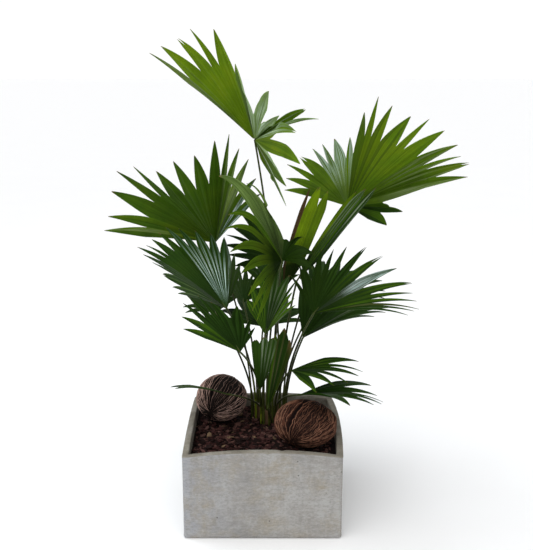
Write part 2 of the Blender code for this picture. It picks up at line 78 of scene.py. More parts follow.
# As in the model's source, but for the deeper slits of centre_left, and with the hubs and the ribs' lengths
# in millimetres. fingers has a digit for each finger: its count of pleats. A named rib is (finger, compass
# direction, climb, length), and deep lists the fingers that start at a deep slit.
Leaf = namedtuple("Leaf", "name stem hub droop split fingers ribs furl deep", defaults=(0, ()))
LEAVES = (
    Leaf("top", "stem_right", (-15, 50, 735), 0.35, 0.66, "122131112122111",
         ((0, 180, 45, 250), (1, -165, 50, 250), (4, -120, 60, 250), (5, -100, 45, 230), (6, -81, 36, 200),
          (7, -73, 26, 165), (8, -54, 29, 175), (9, -49, 22, 180), (10, -63, 16, 170), (11, -62, -3, 175),
          (12, -66, -21, 160), (13, -61, -38, 170), (14, -47, -49, 95)), deep=(6, 7, 8, 10, 11, 12)),
    Leaf("right_high", "stem_right", (170, 90, 600), 0.25, 0.67, "11121121211212212111",
         ((0, -130, 20, 210), (2, -125, 30, 235), (5, -110, 40, 240), (7, -95, 45, 235), (9, -75, 60, 260),
          (11, -45, 55, 235), (14, -5, 35, 250), (16, -5, 25, 255), (17, -10, 20, 240), (18, 0, 0, 115),
          (19, -10, -20, 85)), deep=(18,)),
    Leaf("left_high", "stem_left", (-95, 70, 530), 0.2, 0.62, "11221222211111",
         ((0, 180, 10, 225), (2, 175, 30, 230), (3, 180, 40, 235), (5, -135, 50, 210), (7, -100, 55, 245),
          (9, -75, 60, 270), (11, -65, 50, 245), (13, -55, 40, 205))),
    Leaf("centre_left", "stem_middle", (35, -120, 535), 1, 0.62, "111111261122",
         ((0, -130, -45, 115), (1, -130, -30, 110), (2, -130, -10, 105), (3, -135, 15, 105),
          (4, -145, 35, 120), (5, -155, 50, 135), (6, -160, 60, 145), (7, 180, 70, 195), (8, 155, 75, 155),
          (9, 0, 65, 60), (10, -20, 35, 65), (11, -40, 15, 70)), deep=(1, 2, 3, 4, 5, 6, 9)),
    Leaf("left_middle", "stem_left", (-65, -100, 440), 0.3, 0.72, "1121221222222211",
         ((0, 130, 5, 160), (3, 145, 25, 195), (5, 160, 35, 205), (8, 150, 45, 205), (10, 130, 45, 200),
          (13, 95, 45, 165), (15, 80, 30, 135))),
    Leaf("left_low", "stem_left", (-40, -140, 370), 0.25, 0.62, "111222211",
         ((0, 170, 25, 115), (2, 160, 40, 140), (3, 155, 45, 145), (5, 145, 55, 110), (8, 50, 45, 55))),
    Leaf("right_middle", "stem_right", (95, -80, 425), 0.35, 0.55, "12222222211111",
         ((0, 155, 60, 85), (2, 55, 80, 120), (4, 20, 65, 140), (6, 10, 45, 170), (8, 0, 25, 185),
          (11, -20, 15, 205), (13, -30, 15, 190))),
    Leaf("right_under", "stem_right", (80, 20, 345), 0.5, 0.6, "22221111",
         ((0, 92, 58, 115), (3, 30, 35, 185), (5, 10, 25, 205), (7, -10, 30, 150))),
    Leaf("centre_low", "stem_middle", (5, -130, 400), 0.25, 0.72, "222221111",
         ((0, 140, 55, 75), (3, 50, 75, 125), (5, 20, 60, 115), (6, 10, 60, 90), (8, -10, 50, 80))),
    Leaf("band", "stem_right", (65, -30, 475), 0.2, 0.85, "232",
         ((0, 20, 57, 205), (1, 17, 54, 225), (2, 15, 50, 230)), furl=0.7),
    Leaf("spear", "stem_middle", (40, -30, 455), 0, 0.8, "133",
         ((0, 0, 78, 200), (1, 0, 72, 215), (2, 7, 66, 215)), furl=0.8),
    Leaf("young_centre", "stem_middle", (-5, -50, 260), 0, 0.9, "222",
         ((0, -95, 55, 170), (1, -85, 55, 175), (2, -75, 55, 175)), furl=0.4),
    Leaf("young_right", "stem_middle", (10, -30, 215), 0, 0.93, "121",
         ((0, 0, 85, 150), (1, 5, 79, 170), (2, 25, 70, 145)), furl=0.4),
    Leaf("low_right", "stem_right", (55, -30, 295), 0.5, 0.5, "212111",
         ((0, 20, 10, 150), (1, 10, 5, 150), (2, 0, 5, 135), (4, -35, 5, 100), (5, -60, 0, 95))),
    Leaf("lowest_right", "stem_right", (70, -70, 260), 0.5, 0.55, "321111",
         ((0, 30, 5, 170), (2, 10, 0, 175), (4, -10, 5, 145), (5, -40, 15, 120))),
    Leaf("lowest_left", "stem_middle", (-65, -30, 245), 0.35, 0.7, "12",
         ((0, -160, 20, 110), (1, 170, 10, 120))),
    Leaf("shade_left", "stem_middle", (35, 100, 485), 0.35, 0.6, "11212221",
         ((0, 155, -5, 105), (1, 165, 10, 115), (3, 165, 30, 125), (5, 150, 50, 135), (7, 110, 50, 100))),
    Leaf("shade_low", "stem_left", (-40, 90, 400), 0.3, 0.6, "11222111",
         ((0, 115, 5, 105), (2, 110, 35, 95), (4, 85, 55, 80), (6, 40, 55, 70), (7, 0, 35, 55))),
    Leaf("rear_left", "stem_left", (-100, 130, 365), 0.35, 0.58, "112222211",
         ((0, 155, 0, 75), (2, 120, 10, 140), (4, 100, 20, 180), (6, 85, 20, 160), (8, 60, 15, 110))),
    Leaf("rear_right", "stem_right", (115, 120, 395), 0.35, 0.58, "112222211",
         ((0, 125, 35, 80), (2, 95, 30, 135), (4, 70, 20, 190), (6, 40, 10, 195), (8, 15, 5, 155))),
    Leaf("rear_middle", "stem_left", (20, 150, 405), 0.35, 0.58, "1222221",
         ((0, 200, 35, 70), (2, 115, 40, 120), (3, 90, 30, 165), (5, 65, 30, 125), (6, 50, 20, 95))),
    Leaf("rear_low", "stem_left", (0, 130, 335), 0.45, 0.55, "1222221",
         ((0, 170, 10, 110), (1, 140, 15, 130), (3, 90, 20, 160), (5, 40, 15, 130), (6, 10, 10, 110))),
)
LEAVES = [leaf._replace(hub=tuple(part / 1000 for part in leaf.hub),
                        fingers=tuple(int(pleats) for pleats in leaf.fingers)) for leaf in LEAVES]


def hashed(*parts):
    """A random source of its own, seeded by these words."""
    return random.Random("-".join(parts))


def full_colour(colour):
    """The scene's colour, with its opacity, from one whose parts are in thousandths."""
    return (*(part / 1000 for part in colour), 1)


class Nodes:
    """Short ways to add nodes to one tree."""

    def __init__(self, tree):
        self.tree = tree

    def feed(self, node, inputs):
        """Gives a node's inputs, by name or number, a socket or a value each."""
        for name, value in inputs.items():
            if isinstance(value, bpy.types.NodeSocket):
                self.tree.links.new(value, node.inputs[name])
            else:
                node.inputs[name].default_value = value
        return node

    def add(self, kind, inputs, **settings):
        node = self.tree.nodes.new(kind)
        for name, value in settings.items():
            setattr(node, name, value)
        return self.feed(node, inputs)

    def place(self, scale=(1, 1, 1), source="Object"):
        """The object's place or its UV, stretched by scale."""
        texture = self.add("ShaderNodeTexCoord", {})
        mapping = self.add("ShaderNodeMapping", {"Vector": texture.outputs[source], "Scale": scale})
        return mapping.outputs["Vector"]

    def noise(self, place, scale=1, detail=3, rough=0.55):
        node = self.add("ShaderNodeTexNoise",
                        {"Vector": place, "Scale": scale, "Detail": detail, "Roughness": rough})
        return node.outputs["Fac"]

    def parts(self, vector):
        """The X, Y and Z of a vector socket."""
        return self.add("ShaderNodeSeparateXYZ", {"Vector": vector}).outputs

    def math(self, operation, first, second):
        return self.add("ShaderNodeMath", {0: first, 1: second}, operation=operation).outputs[0]

    def ramp(self, fac, *stops):
        """A colour ramp over fac, whose stops are (position, colour)."""
        node = self.add("ShaderNodeValToRGB", {"Fac": fac})
        elements = node.color_ramp.elements
        while len(elements) < len(stops):
            elements.new(0.5)
        for element, (position, colour) in zip(elements, stops):
            element.position = position
            element.color = full_colour(colour)
        return node.outputs["Color"]

    def mix(self, fac, first, second):
        """Two colours mixed by fac: the first a socket, the second a socket or a colour."""
        if isinstance(second, tuple):
            second = full_colour(second)
        return self.add("ShaderNodeMix", {0: fac, 6: first, 7: second}, data_type="RGBA").outputs[2]

    def spread(self, fac, low, high, start=0.3, end=0.7):
        """fac, stretched from start..end to low..high and clamped."""
        node = self.add("ShaderNodeMapRange", {
            "Value": fac, "From Min": start, "From Max": end, "To Min": low, "To Max": high})
        return node.outputs["Result"]

    def tint(self, under, colour, fac, *window):
        """A colour laid over another, as much as fac says once it is spread over the window."""
        return self.mix(self.spread(fac, *window), under, colour)

    def bump(self, height, strength, distance):
        node = self.add("ShaderNodeBump",
                        {"Height": height, "Strength": strength, "Distance": distance})
        return node.outputs["Normal"]


def new_material(name, roughness, specular):
    """A material, its nodes and its Principled shader."""
    material = bpy.data.materials.new(name)
    material.use_nodes = True
    nodes = Nodes(material.node_tree)
    shader = nodes.tree.nodes["Principled BSDF"]
    nodes.feed(shader, {"Roughness": roughness, "Specular IOR Level": specular})
    return material, nodes, shader


def shade_of(colour, gain):
    return tuple(min(1000, part * gain) for part in colour)


# gleam has the shares of a rib's length where the painted sheen begins, is full, fades and has gone, and
# buried those between which the painted shade at the hub fades, whose depth is 1 - hub. dry is where the
# tip's brown begins.
# crease is the painted shade in the creases; 0.7 of it is the painted highlight on the ridges.
LeafPaint = namedtuple("LeafPaint", "face back roughness specular hub crease sheen gleam dry buried",
                       defaults=(1, 0.6, None, (0.06, 0.22, 0.55, 0.85), 0.97, (0.2, 0.78)))
# Paints with a sheen carry painted highlights; pale and tawny are paler or olive tones with a painted sheen
# over them.
# The greens from sunlit to deep are one leaf green at levels of painted light: bright for backlit upper
# leaves, dark for leaves in the crown's shade.
LEAF_PAINTS = {
    "sunlit": LeafPaint((145, 250, 3), (115, 205, 4), 0.5, 0.03, 0.8, 0.3),
    "bright": LeafPaint((110, 210, 3), (90, 175, 5), 0.5, 0.03, 0.72, 0.45),
    "fresh": LeafPaint((66, 135, 3), (58, 116, 4), 0.5, 0.03, 0.6, 0.45),
    "green": LeafPaint((43, 98, 2), (38, 88, 3), 0.48, 0.04, 0.72, 0.38),
    "dark": LeafPaint((14, 43, 2), (16, 45, 3), 0.48, 0.04, 0.45),
    "deep": LeafPaint((6, 21, 1), (8, 24, 1), 0.5, 0.04),
    "shaded": LeafPaint((70, 132, 3), (58, 112, 4), 0.5, 0.03, 0.04, 0.45),
    "lantern": LeafPaint((190, 310, 4), (140, 230, 4), 0.5, 0.03, 0.03, 0.25, buried=(0.26, 0.62)),
    "inner": LeafPaint((112, 205, 4), (95, 170, 4), 0.5, 0.03, 0.03, 0.35, buried=(0.28, 0.62)),
    "hazy": LeafPaint((82, 152, 4), (70, 130, 5), 0.5, 0.05, 0.8, 0.4, (160, 215, 85), (0.3, 0.6, 0.96, 1)),
    "veiled": LeafPaint((20, 50, 6), (20, 48, 6), 0.45, 0.1, 0.3, 0.6, (210, 260, 175),
                        (0.42, 0.66, 0.97, 1)),
    "tawny": LeafPaint((44, 62, 8), (40, 56, 8), 0.48, 0.05, 0.35, 0.6, (105, 120, 45)),
    "tipped": LeafPaint((44, 98, 3), (38, 88, 3), 0.48, 0.04, 0.12, 0.5),
    "glazed": LeafPaint((20, 56, 6), (18, 50, 6), 0.4, 0.15, 0.3, 0.6, (560, 740, 690),
                        (0.34, 0.5, 0.82, 0.98)),
    "pale": LeafPaint((175, 295, 60), (135, 230, 45), 0.5, 0.08, 1, 0.6, (430, 560, 380)),
    "misty": LeafPaint((105, 195, 6), (90, 170, 10), 0.5, 0.1, 0.8, 0.4, (400, 520, 420),
                       (0.3, 0.6, 0.96, 1)),
    "frosted": LeafPaint((16, 60, 8), (16, 52, 8), 0.4, 0.15, 1, 0.6, (560, 760, 700),
                         (0.06, 0.22, 0.46, 0.76)),
    "glossy": LeafPaint((58, 110, 6), (46, 90, 8), 0.4, 0.12, 0.3, 0.6, (150, 230, 60), (0.2, 0.4, 0.8, 1)),
    "lined": LeafPaint((26, 56, 9), (24, 52, 9), 0.42, 0.1, 0.1, 0.6, (190, 250, 140)),
    "scorched": LeafPaint((30, 52, 4), (28, 50, 4), 0.5, 0.04, dry=0.8),
    "brown": LeafPaint((75, 44, 18), (75, 44, 18), 0.6, 0.04, 0.25),
}
TIP_BROWN = (150, 90, 38)
HUB_SHADE = (3, 9, 1)
VEIN_GAIN = 1.3
VEIN_BLOOM = 7
GLINT_GAIN = 1.7
GLINT_START = (0.22, 0.45)


def leaf_material(name, colour, paint):
    """A pleated leaf: veins along its ribs, patches, dry tips, painted shade in its creases and towards the
    hub, painted highlights on its ridges, and a paint's streaked painted sheen.
    """
    material, nodes, shader = new_material(name, paint.roughness, paint.specular)
    across, along, _ = nodes.parts(nodes.place(source="UV"))
    fold = nodes.math("PINGPONG", across, 0.5)
    streak = nodes.noise(nodes.place((5, 1.6, 1), "UV"), 1, 4, 0.6)
    hair = nodes.noise(nodes.place((22, 1.2, 1), "UV"), 1, 2, 0.5)
    warm = (colour[0] * 1.4, colour[1] * 1.16, colour[2])
    vein = tuple(part * VEIN_GAIN + VEIN_BLOOM for part in colour)
    body = nodes.ramp(nodes.noise(nodes.place(), 12),
                      (0.34, shade_of(colour, 0.68)), (0.5, colour), (0.66, warm))
    # painted sheen: bright streaks laid over the green, a painted reflection of the lights
    if paint.sheen:
        shine = gleam_of(nodes, paint, along, paint.gleam[:2], nodes.spread(streak, 0, 1, 0.45, 0.6))
        body = nodes.mix(shine, body, paint.sheen)
    body = nodes.tint(body, shade_of(colour, 0.5), hair, 0, 0.45, 0.5, 0.66)
    body = nodes.tint(body, vein, hair, 0.55, 0, 0.34, 0.46)
    # painted glints: crisp highlight lines within the painted sheen
    if paint.sheen:
        glint = gleam_of(nodes, paint, along, GLINT_START, nodes.spread(hair, 0, 0.7, 0.58, 0.68))
        body = nodes.mix(glint, body, shade_of(paint.sheen, GLINT_GAIN))
    # painted highlight on the pleats' ridges, then painted shade in their creases
    body = nodes.tint(body, shade_of(colour, 1.7), fold, 0.7 * paint.crease, 0, 0, 0.07)
    body = nodes.tint(body, shade_of(colour, 0.4), fold, 0, paint.crease, 0.42, 0.5)
    # painted shade towards the hub, where the crown shades the leaf
    if paint.hub < 1:
        body = nodes.tint(body, HUB_SHADE, along, 1 - paint.hub, 0, *paint.buried)
    worn = nodes.math("ADD", along, nodes.spread(streak, -0.04, 0.03))
    nodes.feed(shader, {
        "Base Color": nodes.tint(body, TIP_BROWN, worn, 0, 0.75, paint.dry, 0.995),
        "Roughness": nodes.spread(streak, paint.roughness - 0.06, paint.roughness + 0.1),
        "Normal": nodes.bump(hair, 0.35, 0.0006),
    })
    return material


def gleam_of(nodes, paint, along, start, lines):
    """Painted highlight lines that come up along the rib over the shares in start, and fade as the paint
    says.
    """
    begun = nodes.spread(along, 0, 1, *start)
    ended = nodes.spread(along, 1, 0.1, *paint.gleam[2:])
    return nodes.math("MULTIPLY", lines, nodes.math("MULTIPLY", begun, ended))


def leaf_materials():
    """Each paint's two materials: for a leaf's face and for its back."""
    return {name: (leaf_material("leaf_" + name, paint.face, paint),
                   leaf_material("leaf_" + name + "_back", paint.back, paint))
            for name, paint in LEAF_PAINTS.items()}


STALK_PAINTS = {
    "stalk_foot": ((30, 40, 6), (62, 78, 11)),
    "stalk_low": ((22, 28, 5), (50, 58, 10)),
    "stalk_foot_bright": ((100, 135, 10), (175, 205, 18)),
    "stalk_low_bright": ((45, 68, 6), (90, 115, 10)),
    "stalk_middle": ((14, 19, 4), (30, 36, 8)),
    "stalk_high": ((26, 38, 6), (50, 66, 12)),
    "sheath_fibre": ((60, 34, 16), (150, 95, 50), 0.8),
}


def stalk_material(name, low, high, roughness=0.45):
    """A smooth stalk with faint length-wise lines and small darker flecks."""
    material, nodes, shader = new_material(name, roughness, 0.15)
    lines = nodes.noise(nodes.place((14, 1.2, 1), "UV"))
    flecks = nodes.noise(nodes.place((1, 1, 0.4)), 260, 2)
    body = nodes.ramp(lines, (0.3, low), (0.7, high))
    body = nodes.tint(body, shade_of(low, 0.5), flecks, 0, 0.6, 0.6, 0.74)
    nodes.feed(shader, {"Base Color": body, "Normal": nodes.bump(lines, 0.3, 0.0004)})
    return material


def cement_material():
    """Whitewashed cement: warm clouds, painted cool light on the left side, faint brushing both ways,
    stains, specks, and tiny pits with painted shade.
    """
    material, nodes, shader = new_material("whitewashed_cement", 0.88, 0.15)
    place = nodes.place()
    cloud = nodes.noise(place, 9, 5, 0.62)
    stain = nodes.noise(place, 21, 5, 0.65)
    level = nodes.noise(nodes.place((22, 22, 130)), 1, 5, 0.65)
    upright = nodes.noise(nodes.place((110, 110, 14)), 1, 4, 0.6)
    blot = nodes.noise(nodes.place((60, 60, 34)), 1, 6, 0.7)
    grain = nodes.noise(nodes.place((170, 170, 360)), 1, 3, 0.7)
    pits = nodes.add("ShaderNodeTexVoronoi", {"Vector": place, "Scale": 34, "Randomness": 1})
    layers = (
        # painted cool light: bluer towards the planter's left side, where the cool light falls
        ((300, 314, 350), nodes.parts(place)[0], 0.7, 0, -0.15, -0.03),
        ((292, 258, 200), stain, 0, 0.8, 0.48, 0.66),
        ((392, 392, 388), level, 0, 0.38, 0.48, 0.66),
        ((232, 224, 208), upright, 0, 0.4, 0.5, 0.68),
        ((400, 400, 395), blot, 0, 0.38, 0.52, 0.7),
        ((205, 198, 185), grain, 0, 0.55, 0.5, 0.68),
        ((420, 416, 405), grain, 0.36, 0, 0.32, 0.48),
        # painted shade: tiny pits drawn as dark specks, for the shade inside them
        ((80, 72, 60), pits.outputs["Distance"], 0.8, 0, 0.03, 0.07),
    )
    body = nodes.ramp(cloud, (0.36, (246, 240, 232)), (0.5, (298, 286, 268)),
                      (0.62, (350, 342, 328)))
    for layer in layers:
        body = nodes.tint(body, *layer)
    nodes.feed(shader, {
        "Base Color": body,
        "Roughness": nodes.spread(level, 0.8, 0.95),
        "Normal": nodes.bump(nodes.mix(0.5, grain, level), 0.45, 0.001),
    })
    return material


def rim_wear_and_shade_material():
    """The planter's rim and inner walls, rubbed to bare cement in places, and darker than the outer faces:
    painted shade on the inner walls.
    """
    material, nodes, shader = new_material("worn_rim", 0.85, 0.2)
    place = nodes.place()
    grain = nodes.noise(place, 380, 3, 0.7)
    body = nodes.ramp(nodes.noise(place, 38, 4, 0.6), (0.32, (150, 135, 108)),
                      (0.5, (215, 195, 158)), (0.7, (285, 270, 235)))
    body = nodes.tint(body, (100, 90, 72), grain, 0, 0.6, 0.55, 0.75)
    nodes.feed(shader, {"Base Color": body, "Normal": nodes.bump(grain, 0.4, 0.0006)})
    return material


BARK_PAINTS = {
    "mulch_base": ((12, 5, 4), 0.9),
    "bark_maroon": ((46, 16, 14), 0.75),
    "bark_dark": ((15, 6, 5), 0.75),
    "bark_brown": ((92, 44, 36), 0.8),
    "bark_tan": ((170, 110, 64), 0.8),
    "husk_dark": ((6, 3, 2), 0.85),
    # husk_furrow and husk_furrow_red darken the husk in its furrow: painted shade
    "husk_furrow": ((3, 1, 1), 0.9),
    "husk_red": ((14, 5, 3), 0.85),
    "husk_furrow_red": ((4, 1, 1), 0.9),
    "fibre_tan": ((400, 262, 216), 0.8),
    "fibre_umber": ((210, 132, 104), 0.8),
    "fibre_dark": ((10, 5, 4), 0.8),
    "fibre_orange": ((210, 100, 62), 0.8),
    "fibre_rust": ((88, 34, 20), 0.8),
    "fibre_red": ((22, 8, 5), 0.8),
}


def bark_material(name, colour, roughness):
    """Damp bark or husk: fibrous grain and scattered paler scuffs."""
    material, nodes, shader = new_material(name, roughness, 0.12)
    place = nodes.place()
    grain = nodes.noise(place, 130, 5, 0.7)
    body = nodes.ramp(grain, (0.3, shade_of(colour, 0.45)), (0.52, colour), (0.75, shade_of(colour, 1.7)))
    body = nodes.tint(body, shade_of(colour, 2.6), nodes.noise(place, 60, 3, 0.6), 0, 0.35, 0.6, 0.8)
    nodes.feed(shader, {"Base Color": body, "Normal": nodes.bump(grain, 0.6, 0.0012)})
    return material


def put(name, data, place=(0, 0, 0), rotation=(0, 0, 0)):
    """An object in the scene, made of this data."""
    obj = bpy.data.objects.new(name, data)
    obj.location = place
    obj.rotation_euler = rotation
    bpy.context.scene.collection.objects.link(obj)
    return obj


def make_object(name, points, faces, materials, slots=None, uv=None, smooth=True):
    """A mesh object; slots gives each face's material, and uv each point's."""
    mesh = bpy.data.meshes.new(name)
    mesh.from_pydata([tuple(p) for p in points], [], faces)
    for material in materials:
        mesh.materials.append(material)
    if slots is not None:
        mesh.polygons.foreach_set("material_index", np.asarray(slots, dtype=np.int32))
    mesh.polygons.foreach_set("use_smooth", [smooth] * len(faces))
    mesh.update()
    if uv is not None:
        corners = np.empty(len(mesh.loops), dtype=np.int32)
        mesh.loops.foreach_get("vertex_index", corners)
        layer = mesh.uv_layers.new(name="UVMap")
        layer.data.foreach_set("uv", np.asarray(uv, dtype=np.float32)[corners].ravel())
    return put(name, mesh)


def grid_faces(index, turned=False):
    """The quads of a grid of point numbers, row by row; turned swaps their sides."""
    corners = [index[:-1, :-1], index[:-1, 1:], index[1:, 1:], index[1:, :-1]]
    if turned:
        corners[1], corners[3] = corners[3], corners[1]
    return np.stack(corners, axis=-1).reshape(-1, 4).tolist()


def ring_faces(rings, sides, turned=False):
    """The faces between one ring of points and the next, then the two ends."""
    index = np.arange((rings + 1) * sides).reshape(-1, sides)
    ends = [index[0], index[-1, ::-1]] if turned else [index[0, ::-1], index[-1]]
    return grid_faces(np.hstack((index, index[:, :1])), turned) + [end.tolist() for end in ends]


def dress(obj, slot, *nodes):
    """The piece rides on the plant's one body, and the model's parts that it stands in for are hidden; slot
    is not used.
    """
    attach(obj, "root")
    if nodes:
        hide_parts(*nodes)


PLEAT_SLOPE = 0.3
FINGER_TAPER = 1.5
LENGTH_SPREAD = 0.035
FURL_START = 0.3
RIB_STEPS = 24
DEEP_SLIT = 0.55
DEEP_WIDTH = 0.6

LEAF_THICKNESS = 0.0005
HUB_SHARE = 0.015
INNER_RINGS = 14
OUTER_RINGS = 22
STRIP_COLUMNS = 2
EDGE = 1e-6
RIPPLE = 0.0012
RIPPLE_TURN = 1.7

PARTED_SHARE = 0.3
PARTED_FROM = (0.62, 0.86)
WHOLE_TO = (0.9, 1.05)
PARTED_END = 0.26
WHOLE_END = 0.05
PARTING_CURVE = 1.3
PARTING_WIDTH = 0.92
SWAY = 0.025
LIFT = 0.02
CURL = 0.03


def unit(vectors):
    return vectors / np.linalg.norm(vectors, axis=-1, keepdims=True)


def direction(compass, climb):
    """The unit vector at these angles, in degrees."""
    level = cos(radians(climb))
    return np.array((level * cos(radians(compass)), level * sin(radians(compass)), sin(radians(climb))))


def pleat_marks(leaf):
    """Where each finger starts, counted in pleats from the first edge, and where the last one ends."""
    return np.concatenate(([0.0], np.cumsum(leaf.fingers)))


def finger_middles(leaf):
    marks = pleat_marks(leaf)
    return (marks[:-1] + marks[1:]) / 2


def rib_at(leaf, pleat):
    """The directions and lengths of the ribs at these counts of pleats, blended from the named ribs."""
    places = finger_middles(leaf)[[rib[0] for rib in leaf.ribs]]
    ways = np.array([direction(*rib[1:3]) for rib in leaf.ribs])
    lengths = np.array([rib[3] for rib in leaf.ribs]) / 1000
    low = np.minimum(np.searchsorted(places[1:], pleat), len(places) - 2)
    share = (pleat - places[low]) / (places[low + 1] - places[low])
    way = unit(ways[low] + share[..., None] * (ways[low + 1] - ways[low]))
    return way, lengths[low] + share * (lengths[low + 1] - lengths[low])


def furled(leaf, pleat, share):
    """The pleats whose direction these take here: nearer the hub, a furled blade is wider."""
    middle = sum(leaf.fingers) / 2
    return middle + (pleat - middle) * (leaf.split / np.maximum(share, FURL_START)) ** leaf.furl


def along_rib(leaf, pleat, share, stretch=1):
    """The points at these shares of the ribs' lengths, as gravity bends them more and more outwards."""
    pleat, share, stretch = np.broadcast_arrays(pleat, share, stretch)
    way, length = rib_at(leaf, furled(leaf, pleat, share))
    point = np.broadcast_to(np.array(leaf.hub), way.shape)
    step = (length * stretch * share / RIB_STEPS)[..., None]
    for i in range(RIB_STEPS):
        drop = np.zeros(way.shape)
        drop[..., 2] = leaf.droop * ((i + 0.5) / RIB_STEPS * share) ** 2
        point = point + unit(way - drop) * step
    return point


def face_normal(leaf, pleat):
    before = rib_at(leaf, pleat - 0.5)[0]
    after = rib_at(leaf, pleat + 0.5)[0]
    return unit(np.cross(after - before, rib_at(leaf, pleat)[0]))


def fold_height(leaf, pleat, share):
    """How far the pleats' edges stand over their ribs here."""
    lower = np.floor(pleat)
    start = along_rib(leaf, lower, share)
    width = np.linalg.norm(along_rib(leaf, lower + 1, share) - start, axis=-1)
    return PLEAT_SLOPE * width / 2 * np.abs(2 * (pleat - lower) - 1)


def fan_point(leaf, pleat, share, fold_pleat):
    """A point of the uncut, pleated fan. fold_pleat is the pleat that gives its place in the fold."""
    phase = hashed(leaf.name, "ripple").uniform(0, tau)
    ripple = RIPPLE * np.sin(RIPPLE_TURN * pleat + phase) * share / leaf.split
    height = fold_height(leaf, fold_pleat, share) + ripple
    return along_rib(leaf, pleat, share) + face_normal(leaf, pleat) * height[..., None]


FingerHabit = namedtuple("FingerHabit", "stretch part end sway lift curl")


def finger_habits(leaf):
    """How each finger differs: its length, the ring where its pleats part, and how its end bends."""
    lengths = hashed(leaf.name)
    stretches = [1 + lengths.uniform(-LENGTH_SPREAD, LENGTH_SPREAD) for _ in leaf.fingers]
    chance = hashed(leaf.name, "fingers")
    habits = []
    for pleats, stretch in zip(leaf.fingers, stretches):
        parted = pleats > 1 and chance.random() < PARTED_SHARE
        part = chance.uniform(*(PARTED_FROM if parted else WHOLE_TO))
        habits.append(FingerHabit(
            stretch, round(min(part, 1) * OUTER_RINGS), PARTED_END if parted else WHOLE_END,
            chance.uniform(-SWAY, SWAY), chance.uniform(-LIFT, LIFT), chance.uniform(0, CURL)))
    return habits


def is_mirrored(leaf, finger, side):
    """Whether these columns face a deep slit, where a finger's edge mirrors its other side."""
    before = finger in leaf.deep
    after = finger + 1 in leaf.deep
    return (side < 0) & before | (side > 0) & after


def bends(leaf, middle, tip, habit):
    """How a finger's end sways, lifts and curls down."""
    way, length = rib_at(leaf, middle)
    normal = face_normal(leaf, middle)
    total = habit.sway * np.cross(normal, way) + habit.lift * normal - habit.curl * np.array(UP)
    return (tip ** 2)[:, None] * total * (length * (1 - leaf.split))


def finger_points(leaf, finger, pleat, shares, habit):
    """The points of one strip beyond the split, shaped as pleat columns by rings."""
    middle = finger_middles(leaf)[finger]
    side = pleat - middle
    tip = np.clip((shares - leaf.split) / (1 - leaf.split), 0, 1)
    narrowing = 1 - (1 - habit.end) * tip ** FINGER_TAPER
    lobe, keep = 0, 1
    if leaf.fingers[finger] > 1:
        start = habit.part / OUTER_RINGS
        parted = np.clip((tip - start) / max(1 - start, 0.01), 0, 1) ** PARTING_CURVE
        lobe = np.floor(pleat.mean()) + 0.5 - middle
        keep = 1 - PARTING_WIDTH * parted
    across = (lobe + (side[:, None] - lobe) * keep) * narrowing
    mirror = is_mirrored(leaf, finger, side)[:, None]
    flat = along_rib(leaf, middle + np.where(mirror, -across, across), leaf.split)
    flat = flat - along_rib(leaf, middle, leaf.split)
    flat = np.where(mirror[..., None], -DEEP_WIDTH * flat, flat)
    fold = fold_height(leaf, pleat, leaf.split)[:, None] * (narrowing * keep)
    rib = along_rib(leaf, middle, shares, 1 + (habit.stretch - 1) * tip)
    return rib + flat + face_normal(leaf, middle) * fold[..., None] + bends(leaf, middle, tip, habit)


def ring_shares(leaf):
    inner = HUB_SHARE + (leaf.split - HUB_SHARE) * np.linspace(0, 1, INNER_RINGS + 1)
    outer = leaf.split + (1 - leaf.split) * np.linspace(0, 1, OUTER_RINGS + 1)[1:]
    return np.concatenate((inner, outer))


def mirrored_fan(leaf, middle, grid, rings, folds):
    """The fan beside a deep slit: the finger's other side mirrored about its rib, and narrower."""
    rib = along_rib(leaf, middle, rings)
    flipped = rib + DEEP_WIDTH * (rib - along_rib(leaf, 2 * middle - grid, rings))
    return flipped + face_normal(leaf, grid) * fold_height(leaf, folds, rings)[..., None]


def strip_pleats(strip):
    """Where the columns of a strip, half a pleat wide, lie among the pleats."""
    return (strip + np.linspace(0, 1, STRIP_COLUMNS + 1)) / 2


def strip_points(leaf, strip, finger, shares, habit):
    """The points of one strip from the hub to the tip: columns by rings."""
    pleat = strip_pleats(strip)
    held = np.clip(pleat, strip / 2 + EDGE, (strip + 1) / 2 - EDGE)
    middle = finger_middles(leaf)[finger]
    grid, rings = np.meshgrid(pleat, shares[:INNER_RINGS + 1], indexing="ij")
    folds = np.broadcast_to(held[:, None], grid.shape)
    fan = fan_point(leaf, grid, rings, folds)
    mirror = is_mirrored(leaf, finger, pleat - middle)
    if mirror.any():
        blend = np.clip((rings / leaf.split - DEEP_SLIT) / (1 - DEEP_SLIT), 0, 1) * mirror[:, None]
        fan = fan + (mirrored_fan(leaf, middle, grid, rings, folds) - fan) * blend[..., None]
    outer = finger_points(leaf, finger, held, shares[INNER_RINGS:], habit)
    closing = 1 - np.linspace(0, 1, OUTER_RINGS + 1)[1:] ** FINGER_TAPER
    shift = (fan[:, -1] - outer[:, 0])[:, None] * closing[None, :, None]
    return np.concatenate((fan, outer[:, 1:] + shift), axis=1)


def finger_of(leaf, strip):
    return int(np.searchsorted(pleat_marks(leaf), strip // 2, side="right")) - 1


def joined_ring(leaf, strip, finger, habit):
    """The last ring where this strip is joined to the one before it."""
    if strip == 0:
        return -1
    if strip % 2 == 1:
        return INNER_RINGS + OUTER_RINGS
    if pleat_marks(leaf)[finger] < strip // 2:
        return INNER_RINGS + habit.part
    return round(INNER_RINGS * DEEP_SLIT) if finger in leaf.deep else INNER_RINGS
